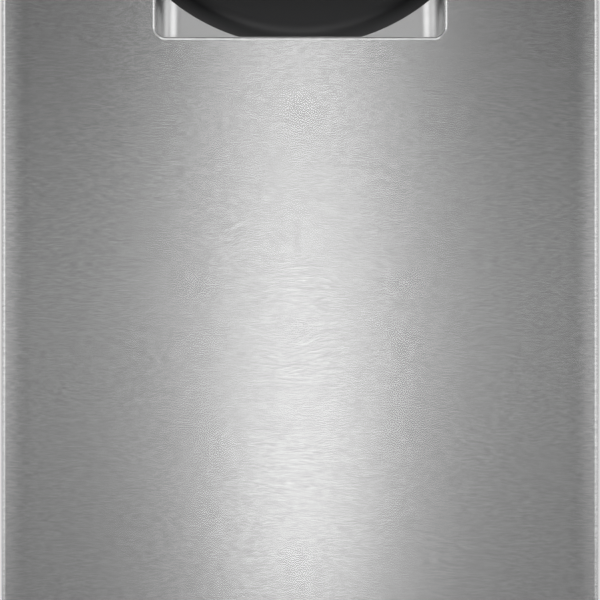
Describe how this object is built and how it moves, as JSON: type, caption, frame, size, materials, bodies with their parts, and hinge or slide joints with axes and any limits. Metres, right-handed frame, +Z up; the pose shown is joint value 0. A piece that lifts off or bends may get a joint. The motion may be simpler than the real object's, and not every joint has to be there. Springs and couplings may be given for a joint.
{
  "type": "built-in dishwasher",
  "caption": "Built-in dishwasher with a brushed steel drop-down door, a recessed pocket handle, hidden top-edge controls, sliding racks and spray arms.",
  "frame": {"origin": "on the floor, under the middle of the machine", "axes": "+Z up; the door faces -Y; +X to the right of someone who looks at the door"},
  "size_m": [0.598, 0.603, 0.86],
  "materials": {
    "door_steel": "fine level brushed finish",
    "pocket_steel": "bright drawn finish",
    "pocket_black": "black satin",
    "tub_steel": "satin",
    "liner_steel": "satin",
    "zinc_steel": "zinc plated",
    "black_steel": "black powder coat",
    "strip_black": "black gloss",
    "button_grey": "satin",
    "grey_plastic": "satin",
    "light_plastic": "satin",
    "dark_plastic": "matte",
    "gasket_rubber": "matte",
    "felt": "felt",
    "rack_wire": "coated wire",
    "rail_steel": "bright",
    "filter_steel": "perforated",
    "motor_metal": "cast",
    "wheel_grey": "satin",
    "spring_steel": "oiled"
  },
  "bodies": {
    "cabinet": {"tub_wrapper": "tub_steel", "tub_back": "tub_steel", "tub_floor": "tub_steel", "front_frame": "tub_steel", "door_gasket": "gasket_rubber", "insulation_blanket": "felt", "feed_conduit": "light_plastic", "slide_rail_outer": "rail_steel", "mounting_brackets": "zinc_steel", "door_strike": "zinc_steel", "base_frame": "zinc_steel", "base_pan": "dark_plastic", "toe_kick": "black_steel", "hinge_pins": "zinc_steel", "door_springs": "spring_steel", "sump": "dark_plastic", "filter_plate": "filter_steel", "wash_pump": "motor_metal", "drain_pump": "dark_plastic", "inlet_valve": "light_plastic", "junction_box": "zinc_steel"},
    "door": {"door_outer_panel": "door_steel", "handle_tray": "pocket_steel", "handle_bowl": "pocket_black", "door_liner": "liner_steel", "door_insulation": "felt", "liner_screws": "zinc_steel", "lower_door_seal": "gasket_rubber", "hinge_arms": "zinc_steel", "control_strip": "strip_black", "dispenser_body": "grey_plastic"},
    "latch": {"latch_hook": "dark_plastic"},
    "detergent_lid": {"dispenser_lid": "light_plastic"},
    "rinse_aid_cap": {"rinse_cap": "light_plastic"},
    "power": {"power_button": "button_grey"},
    "cycle": {"cycle_button": "button_grey"},
    "options": {"options_button": "button_grey"},
    "start": {"start_button": "button_grey"},
    "lower_basket": {"lower_rack": "rack_wire"},
    "front_wheel_pair": {"front_wheels": "wheel_grey"},
    "rear_wheel_pair": {"rear_wheels": "wheel_grey"},
    "fold_row": {"folding_tines": "rack_wire"},
    "cutlery": {"cutlery_basket": "grey_plastic"},
    "upper_basket": {"upper_rack": "rack_wire", "upper_rail_inner": "rail_steel", "rack_feed_pipe": "grey_plastic"},
    "shelf": {"cup_shelf": "rack_wire"},
    "middle_arm": {"middle_spray_arm": "grey_plastic"},
    "rail_members": {"slide_rail_middle": "rail_steel"},
    "third_basket": {"third_rack": "rack_wire", "third_rail_inner": "rail_steel"},
    "lower_arm": {"lower_spray_arm": "grey_plastic"},
    "top_arm": {"top_spray_arm": "grey_plastic"},
    "filter": {"filter_cylinder": "grey_plastic"},
    "float": {"float_switch": "grey_plastic"},
    "impeller": {"wash_impeller": "light_plastic"},
    "front_left_foot": {"foot_front_left": "dark_plastic"},
    "front_right_foot": {"foot_front_right": "dark_plastic"},
    "rear_left_foot": {"foot_rear_left": "dark_plastic"},
    "rear_right_foot": {"foot_rear_right": "dark_plastic"}
  },
  "joints": [
    {"name": "door_hinge", "type": "hinge", "parent": "cabinet", "child": "door", "pos_m": [0, -0.262, 0.13], "axis": [1, 0, 0], "range_deg": [0, 90], "stiffness_Nm_per_rad": 12, "springref_deg": -20.05, "deforming": ["door_springs"]},
    {"name": "latch_turn", "type": "hinge", "parent": "door", "child": "latch", "pos_m": [0, -0.268, 0.8435], "axis": [-1, 0, 0], "range_deg": [0, 10]},
    {"name": "detergent_lid_slide", "type": "slide", "parent": "door", "child": "detergent_lid", "axis": [0, 0, 1], "range_m": [0, 0.056]},
    {"name": "rinse_cap_turn", "type": "hinge", "parent": "door", "child": "rinse_aid_cap", "pos_m": [0.065, -0.25, 0.394], "axis": [0, -1, 0], "range_deg": [0, 90]},
    {"name": "lower_rack_slide", "type": "slide", "parent": "cabinet", "child": "lower_basket", "axis": [0, -1, 0], "range_m": [0, 0.14]},
    {"name": "front_wheels_roll", "type": "hinge", "parent": "lower_basket", "child": "front_wheel_pair", "pos_m": [0.246, -0.132, 0.1743], "axis": [1, 0, 0], "range_deg": [0, 446]},
    {"name": "rear_wheels_roll", "type": "hinge", "parent": "lower_basket", "child": "rear_wheel_pair", "pos_m": [0.246, 0.19, 0.1743], "axis": [1, 0, 0], "range_deg": [0, 446]},
    {"name": "tine_row_fold", "type": "hinge", "parent": "lower_basket", "child": "fold_row", "pos_m": [0.026, 0.018, 0.2031], "axis": [0, -1, 0], "range_deg": [0, 88]},
    {"name": "cutlery_basket_lift", "type": "slide", "parent": "lower_basket", "child": "cutlery", "axis": [0, 0, 1], "range_m": [0, 0.1]},
    {"name": "upper_rack_slide", "type": "slide", "parent": "cabinet", "child": "upper_basket", "axis": [0, -1, 0], "range_m": [0, 0.456]},
    {"name": "cup_shelf_turn", "type": "hinge", "parent": "upper_basket", "child": "shelf", "pos_m": [-0.2413, 0.023, 0.5686], "axis": [0, -1, 0], "range_deg": [0, 85]},
    {"name": "middle_arm_spin", "type": "hinge", "parent": "upper_basket", "child": "middle_arm", "pos_m": [0, 0.019, 0.465], "axis": [0, 0, 1], "continuous": true},
    {"name": "rail_members_slide", "type": "slide", "parent": "cabinet", "child": "rail_members", "axis": [0, -1, 0], "range_m": [0, 0.228]},
    {"name": "third_rack_slide", "type": "slide", "parent": "cabinet", "child": "third_basket", "axis": [0, -1, 0], "range_m": [0, 0.456]},
    {"name": "lower_arm_spin", "type": "hinge", "parent": "cabinet", "child": "lower_arm", "pos_m": [0, 0.019, 0.175], "axis": [0, 0, 1], "continuous": true},
    {"name": "top_arm_spin", "type": "hinge", "parent": "cabinet", "child": "top_arm", "pos_m": [0, 0.019, 0.79], "axis": [0, 0, 1], "continuous": true},
    {"name": "filter_turn", "type": "hinge", "parent": "cabinet", "child": "filter", "pos_m": [0, -0.075, 0.12], "axis": [0, 0, 1], "range_deg": [0, 90]},
    {"name": "float_lift", "type": "slide", "parent": "cabinet", "child": "float", "axis": [0, 0, 1], "range_m": [0, 0.008]},
    {"name": "impeller_spin", "type": "hinge", "parent": "cabinet", "child": "impeller", "pos_m": [0.12, -0.03, 0.096], "axis": [1, 0, 0], "continuous": true},
    {"name": "power_press", "type": "slide", "parent": "door", "child": "power", "axis": [0, 0, -1], "range_m": [0, 0.0012], "stiffness_N_per_m": 200},
    {"name": "cycle_press", "type": "slide", "parent": "door", "child": "cycle", "axis": [0, 0, -1], "range_m": [0, 0.0012], "stiffness_N_per_m": 200},
    {"name": "options_press", "type": "slide", "parent": "door", "child": "options", "axis": [0, 0, -1], "range_m": [0, 0.0012], "stiffness_N_per_m": 200},
    {"name": "start_press", "type": "slide", "parent": "door", "child": "start", "axis": [0, 0, -1], "range_m": [0, 0.0012], "stiffness_N_per_m": 200},
    {"name": "front_left_foot_level", "type": "slide", "parent": "cabinet", "child": "front_left_foot", "axis": [0, 0, -1], "range_m": [0, 0.04]},
    {"name": "front_right_foot_level", "type": "slide", "parent": "cabinet", "child": "front_right_foot", "axis": [0, 0, -1], "range_m": [0, 0.04]},
    {"name": "rear_left_foot_level", "type": "slide", "parent": "cabinet", "child": "rear_left_foot", "axis": [0, 0, -1], "range_m": [0, 0.04]},
    {"name": "rear_right_foot_level", "type": "slide", "parent": "cabinet", "child": "rear_right_foot", "axis": [0, 0, -1], "range_m": [0, 0.04]}
  ],
  "couplings": [
    {"joint": "lower_rack_slide", "follows": "door_hinge", "m_per_rad": 0.089},
    {"joint": "front_wheels_roll", "follows": "door_hinge", "ratio": 4.9444},
    {"joint": "rear_wheels_roll", "follows": "door_hinge", "ratio": 4.9444},
    {"joint": "upper_rack_slide", "follows": "door_hinge", "m_per_rad": 0.29},
    {"joint": "rail_members_slide", "follows": "door_hinge", "m_per_rad": 0.145},
    {"joint": "third_rack_slide", "follows": "door_hinge", "m_per_rad": 0.29}
  ]
}
